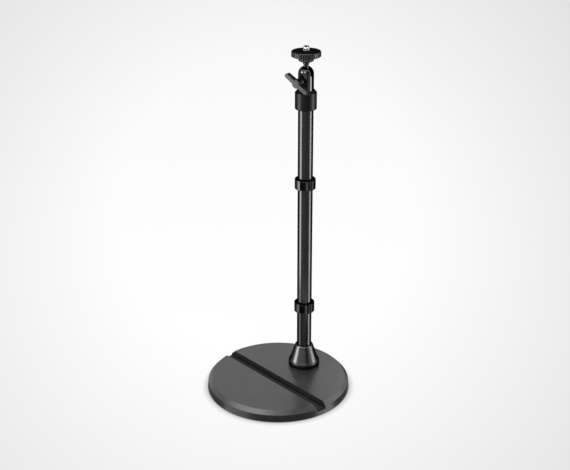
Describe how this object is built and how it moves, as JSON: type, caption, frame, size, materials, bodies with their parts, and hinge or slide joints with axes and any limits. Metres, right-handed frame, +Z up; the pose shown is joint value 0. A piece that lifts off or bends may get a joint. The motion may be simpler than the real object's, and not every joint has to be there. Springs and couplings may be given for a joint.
{
  "type": "desktop stand with ball head",
  "caption": "Black desk stand: round weighted base with a straight slot, slim pole with two split cable clips, and a mini ball head with a camera screw.",
  "frame": {"origin": "centre of the base's underside, on the table", "axes": "+Z up along the pole; +X along the slot; -Y is the front, and the pole stands behind the slot at +Y"},
  "size_m": [0.156, 0.156, 0.3744],
  "materials": {
    "base_paint": "fine sand-textured satin black",
    "tube_black": "satin black anodised",
    "gloss_black": "glossy black",
    "clip_plastic": "semi-gloss black",
    "rubber": "matt",
    "weight_iron": "as cast",
    "steel": "bright",
    "handle_grey": "bead-blasted dark grey",
    "washer_plastic": "matt",
    "alloy": "plain turned",
    "brass_grey": "turned"
  },
  "bodies": {
    "stand": {"base_cover": "base_paint", "counterweight": "weight_iron", "bottom_plate": "base_paint", "base_screws": "steel", "anti_slip_pad": "rubber", "slot_liner": "rubber", "pole_bolt": "steel", "pole_washer": "steel", "foot_ring": "rubber", "foot_cone": "gloss_black", "foot_plug": "alloy", "pole_tube": "tube_black", "top_plug": "alloy", "top_coupling": "tube_black", "tube_grub_screw": "steel", "head_grub_screw": "steel", "pan_washer": "washer_plastic"},
    "lower_clip": {"lower_cable_clip": "clip_plastic"},
    "upper_clip": {"upper_cable_clip": "clip_plastic"},
    "head": {"head_spigot": "steel", "head_housing": "gloss_black"},
    "shoe": {"brake_shoe": "brass_grey"},
    "ball": {"ball_stem": "steel"},
    "platform": {"lock_ring": "gloss_black", "platform_disc": "gloss_black", "platform_pad": "rubber", "camera_screw": "steel"},
    "clamp": {"clamp_screw": "steel"},
    "handle": {"t_handle": "handle_grey"}
  },
  "joints": [
    {"name": "lower_clip_slide", "type": "slide", "parent": "stand", "child": "lower_clip", "axis": [0, 0, 1], "range_m": [-0.04, 0.062]},
    {"name": "upper_clip_slide", "type": "slide", "parent": "stand", "child": "upper_clip", "axis": [0, 0, 1], "range_m": [-0.062, 0.074]},
    {"name": "head_pan", "type": "hinge", "parent": "stand", "child": "head", "pos_m": [0, 0.0387, 0.3281], "axis": [0, 0, 1], "continuous": true},
    {"name": "ball_tilt", "type": "hinge", "parent": "head", "child": "ball", "pos_m": [0, 0.0387, 0.3462], "axis": [-0.225, 0.9744, 0], "range_deg": [-5, 90]},
    {"name": "platform_spin", "type": "hinge", "parent": "ball", "child": "platform", "pos_m": [0, 0.0387, 0.3587], "axis": [0, 0, 1], "continuous": true},
    {"name": "clamp_turn", "type": "hinge", "parent": "clamp", "child": "handle", "pos_m": [0.00382, 0.02214, 0.3392], "axis": [0.225, -0.9744, 0], "range_deg": [0, 180]},
    {"name": "clamp_feed", "type": "slide", "parent": "head", "child": "clamp", "axis": [0.225, -0.9744, 0], "range_m": [0, 0.0004]},
    {"name": "shoe_drop", "type": "slide", "parent": "head", "child": "shoe", "axis": [0, 0, -1], "range_m": [0, 0.0003]}
  ],
  "couplings": [
    {"joint": "clamp_turn", "follows": "clamp_feed", "rad_per_m": 7853.9},
    {"joint": "shoe_drop", "follows": "clamp_feed", "ratio": 0.75}
  ]
}
